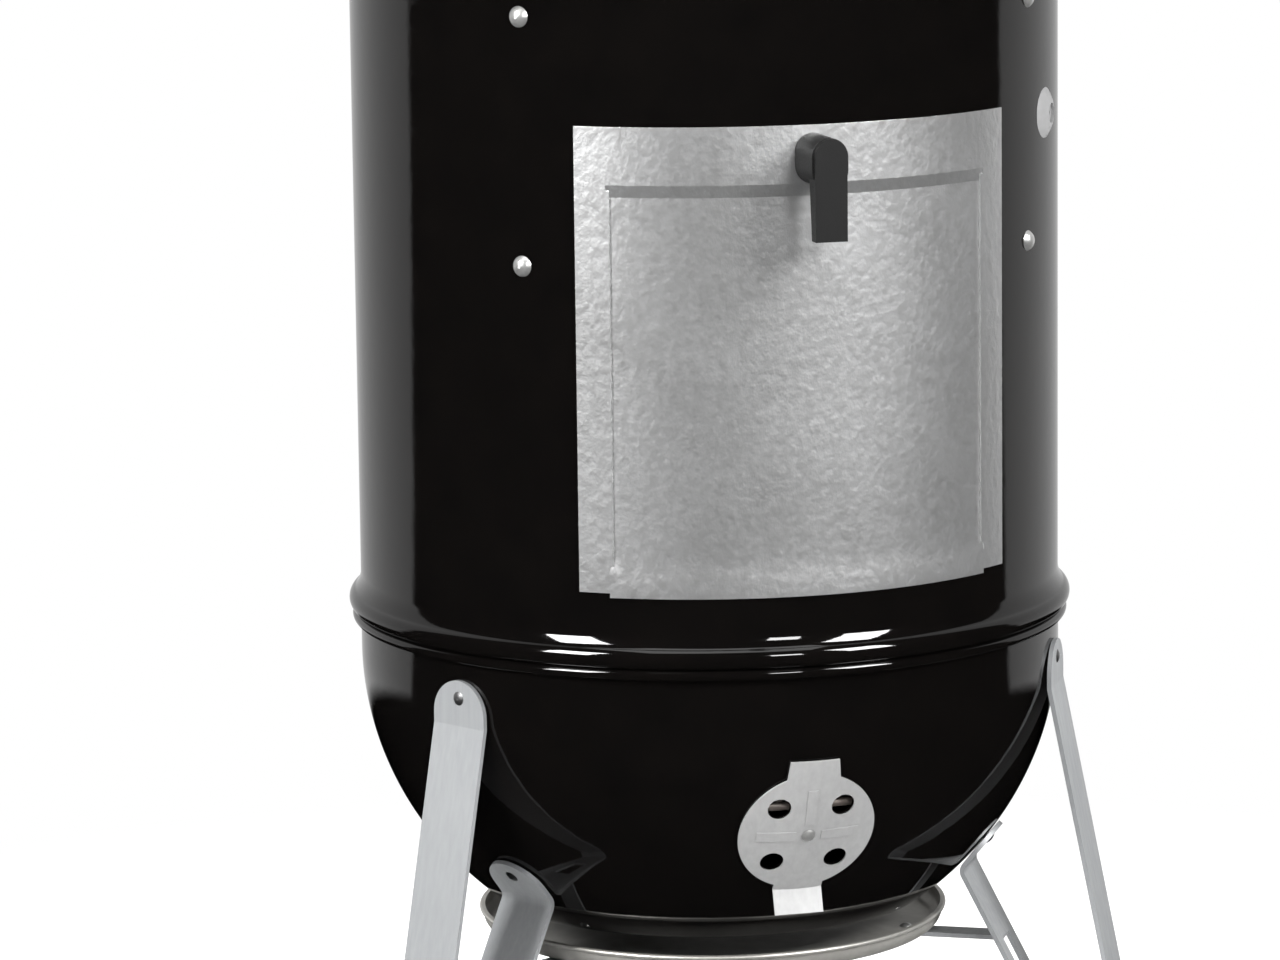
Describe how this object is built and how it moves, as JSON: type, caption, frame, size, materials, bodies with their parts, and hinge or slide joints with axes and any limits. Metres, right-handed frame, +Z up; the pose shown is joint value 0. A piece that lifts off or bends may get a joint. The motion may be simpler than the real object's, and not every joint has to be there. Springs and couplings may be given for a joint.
{
  "type": "vertical water smoker",
  "caption": "Upright charcoal and water smoker: enamelled bowl on strip legs, cooking chamber with a lift-off side door and grates, domed lid with damper and thermometer.",
  "frame": {"origin": "on the floor, under the axis of the bowl and chamber", "axes": "+Z up along the axis of the bowl; -Y is the front, where the access door faces; +X is to the right of a person who faces the door"},
  "size_m": [0.5512, 0.5813, 1.047],
  "materials": {
    "enamel": "gloss porcelain enamel",
    "aluminium_sheet": "satin rolled sheet",
    "leg_aluminium": "matt drawn strip",
    "damper_aluminium": "satin pressed sheet",
    "zinc_steel": "bright zinc plate",
    "plated_strap": "zinc plate",
    "plated_wire": "nickel plate",
    "fuel_steel": "heat-stained steel",
    "black_nylon": "fine moulded texture",
    "grey_silicone": "soft satin",
    "gauge_steel": "polished",
    "gauge_face": "matt print ground",
    "gauge_glass": "clear",
    "gauge_needle": "satin"
  },
  "bodies": {
    "base": {"charcoal_bowl": "enamel", "bowl_damper_rivet_1": "zinc_steel", "bowl_damper_rivet_2": "zinc_steel", "bowl_damper_rivet_3": "zinc_steel", "leg_front_left": "leg_aluminium", "leg_front_right": "leg_aluminium", "leg_rear": "leg_aluminium", "leg_bolts": "zinc_steel", "leg_nuts": "zinc_steel", "heat_shield": "aluminium_sheet", "heat_shield_screws": "zinc_steel"},
    "bowl_damper_front": {"bowl_damper_1": "damper_aluminium"},
    "bowl_damper_right": {"bowl_damper_2": "damper_aluminium"},
    "bowl_damper_left": {"bowl_damper_3": "damper_aluminium"},
    "charcoal_grate": {"charcoal_grate": "fuel_steel"},
    "charcoal_ring": {"charcoal_ring": "fuel_steel"},
    "chamber": {"cooking_chamber": "enamel", "grate_strap_1": "plated_strap", "grate_strap_2": "plated_strap", "grate_strap_3": "plated_strap", "grate_strap_4": "plated_strap", "grate_strap_bolts": "zinc_steel", "grate_strap_nuts": "zinc_steel", "probe_grommet": "grey_silicone"},
    "water_pan": {"water_pan": "enamel"},
    "lower_grate": {"lower_cooking_grate": "plated_wire"},
    "upper_grate": {"upper_cooking_grate": "plated_wire"},
    "door": {"access_door": "aluminium_sheet", "door_hook_left": "zinc_steel", "door_hook_right": "zinc_steel"},
    "door_latch": {"door_latch_knob": "black_nylon", "door_latch_spindle": "zinc_steel", "door_latch_tongue": "zinc_steel", "door_latch_washer": "zinc_steel", "door_latch_nut": "zinc_steel"},
    "lid": {"lid": "enamel", "lid_handle": "black_nylon", "lid_handle_screws": "zinc_steel", "lid_damper_rivet": "zinc_steel", "thermometer_case": "gauge_steel", "thermometer_dial": "gauge_face", "thermometer_lens": "gauge_glass", "thermometer_stem": "gauge_steel", "thermometer_nut": "zinc_steel"},
    "lid_damper": {"lid_damper": "damper_aluminium"},
    "gauge_needle": {"thermometer_needle": "gauge_needle"}
  },
  "joints": [
    {"name": "chamber_lift", "type": "slide", "parent": "base", "child": "chamber", "axis": [0, 0, 1], "range_m": [0, 0.35]},
    {"name": "lid_lift", "type": "slide", "parent": "chamber", "child": "lid", "axis": [0, 0, 1], "range_m": [0, 0.3]},
    {"name": "lid_damper_turn", "type": "hinge", "parent": "lid", "child": "lid_damper", "pos_m": [0, 0.118, 0.9909], "axis": [0, 0.3445, 0.9388], "range_deg": [-45, 45]},
    {"name": "gauge_needle_turn", "type": "hinge", "parent": "lid", "child": "gauge_needle", "pos_m": [0, -0.19332, 0.94704], "axis": [0, -0.6721, 0.7404], "range_deg": [-260, 0]},
    {"name": "bowl_damper_front_turn", "type": "hinge", "parent": "base", "child": "bowl_damper_front", "pos_m": [0, -0.2159, 0.2688], "axis": [0, -0.9032, -0.4292], "range_deg": [-45, 45]},
    {"name": "bowl_damper_right_turn", "type": "hinge", "parent": "base", "child": "bowl_damper_right", "pos_m": [0.18698, 0.10795, 0.2688], "axis": [0.7822, 0.4516, -0.4292], "range_deg": [-45, 45]},
    {"name": "bowl_damper_left_turn", "type": "hinge", "parent": "base", "child": "bowl_damper_left", "pos_m": [-0.18698, 0.10795, 0.2688], "axis": [-0.7822, 0.4516, -0.4292], "range_deg": [-45, 45]},
    {"name": "door_lift_off", "type": "slide", "parent": "chamber", "child": "door", "axis": [0, -0.8, 0.6], "range_m": [0, 0.25]},
    {"name": "door_latch_turn", "type": "hinge", "parent": "door", "child": "door_latch", "pos_m": [0, -0.2376, 0.712], "axis": [0, -1, 0], "range_deg": [0, 90]},
    {"name": "upper_grate_lift", "type": "slide", "parent": "chamber", "child": "upper_grate", "axis": [0, 0, 1], "range_m": [0, 0.06]},
    {"name": "lower_grate_lift", "type": "slide", "parent": "chamber", "child": "lower_grate", "axis": [0, 0, 1], "range_m": [0, 0.12]},
    {"name": "water_pan_lift", "type": "slide", "parent": "chamber", "child": "water_pan", "axis": [0, 0, 1], "range_m": [0, 0.015]},
    {"name": "charcoal_grate_lift", "type": "slide", "parent": "base", "child": "charcoal_grate", "axis": [0, 0, 1], "range_m": [0, 0.012]},
    {"name": "charcoal_ring_lift", "type": "slide", "parent": "charcoal_grate", "child": "charcoal_ring", "axis": [0, 0, 1], "range_m": [0, 0.02]}
  ]
}
